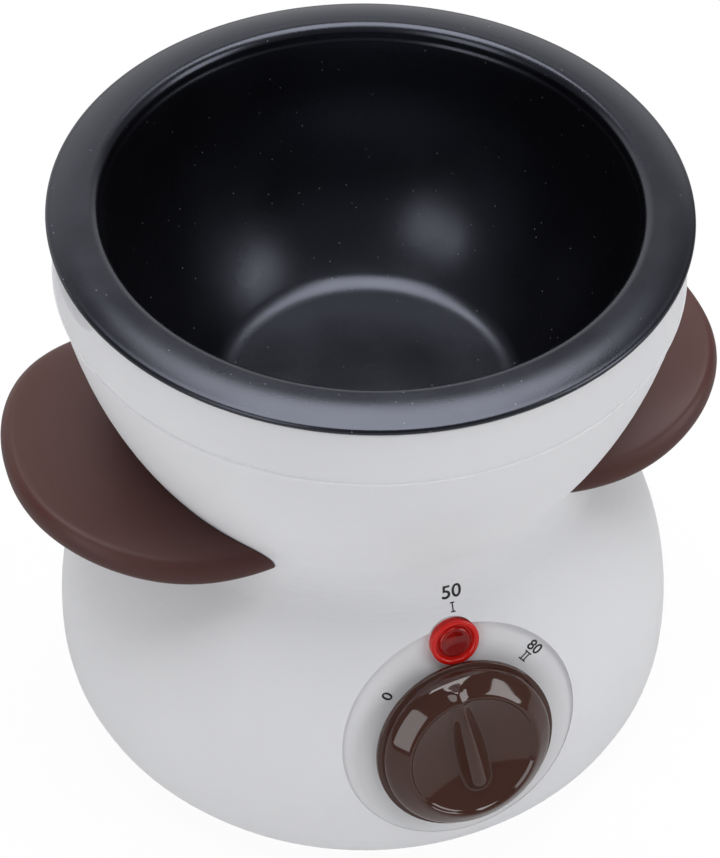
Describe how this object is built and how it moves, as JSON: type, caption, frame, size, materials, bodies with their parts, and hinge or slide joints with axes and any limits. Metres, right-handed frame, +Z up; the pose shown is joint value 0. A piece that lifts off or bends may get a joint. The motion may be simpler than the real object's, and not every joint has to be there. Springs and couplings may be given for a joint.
{
  "type": "electric fondue pot",
  "caption": "Small electric fondue pot with a white waisted housing, lift-out black bowl, brown crescent handles, rotary knob and red indicator lens.",
  "frame": {"origin": "centre of the footprint on the table, under the bowl's axis", "axes": "+Z up along the bowl's axis, -Y towards the dial at the front, +X towards the right-hand handle"},
  "size_m": [0.1548, 0.1524, 0.135],
  "materials": {
    "coated_aluminium": "dark non-stick coating on aluminium, satin",
    "white_plastic": "smooth semi-gloss white",
    "brown_plastic": "finely textured satin brown",
    "brown_gloss": "glossy dark brown",
    "red_lens": "translucent red, polished",
    "aluminium": "drawn sheet",
    "cast_aluminium": "cast, turned face",
    "steel": "zinc plated",
    "mica": "pressed mica sheet",
    "dark_resin": "moulded resin",
    "glass_sleeve": "woven glass-fibre sleeve",
    "shaft_nylon": "natural nylon",
    "lamp_glass": "small neon lamp",
    "white_nylon": "moulded nylon",
    "brass": "turned brass",
    "rubber": "moulded rubber",
    "black_rubber": "moulded rubber"
  },
  "bodies": {
    "housing": {"collar_ring": "white_plastic", "body_shell": "white_plastic", "heat_well": "aluminium", "heating_plate": "cast_aluminium", "plate_screws": "steel", "mica_element": "mica", "clamp_plate": "steel", "clamp_nut": "steel", "shield_spacer": "steel", "heat_shield": "aluminium", "shield_nut": "steel", "thermostat": "dark_resin", "thermostat_screws": "steel", "thermal_fuse": "glass_sleeve", "fuse_clip": "steel", "fuse_screw": "steel", "handle_left": "brown_plastic", "handle_right": "brown_plastic", "handle_screws": "steel", "rotary_switch": "dark_resin", "switch_bracket": "steel", "switch_screws": "steel", "indicator_lens": "red_lens", "lens_retainer": "steel", "neon_lamp": "lamp_glass", "terminal_block": "white_nylon", "terminal_clamps": "brass", "terminal_screw": "steel", "base_cover": "white_plastic", "base_screws": "steel", "foot_front": "rubber", "foot_rear": "rubber", "foot_left": "rubber", "foot_right": "rubber", "cord_gland": "black_rubber"},
    "knob": {"control_knob": "brown_gloss", "switch_shaft": "shaft_nylon"},
    "pot": {"inner_pot": "coated_aluminium"}
  },
  "joints": [
    {"name": "knob_turn", "type": "hinge", "parent": "housing", "child": "knob", "pos_m": [0, -0.06102, 0.03624], "axis": [0, -0.9272, 0.3746], "range_deg": [-50, 50]},
    {"name": "pot_lift", "type": "slide", "parent": "housing", "child": "pot", "axis": [0, 0, 1], "range_m": [0, 0.065]}
  ]
}
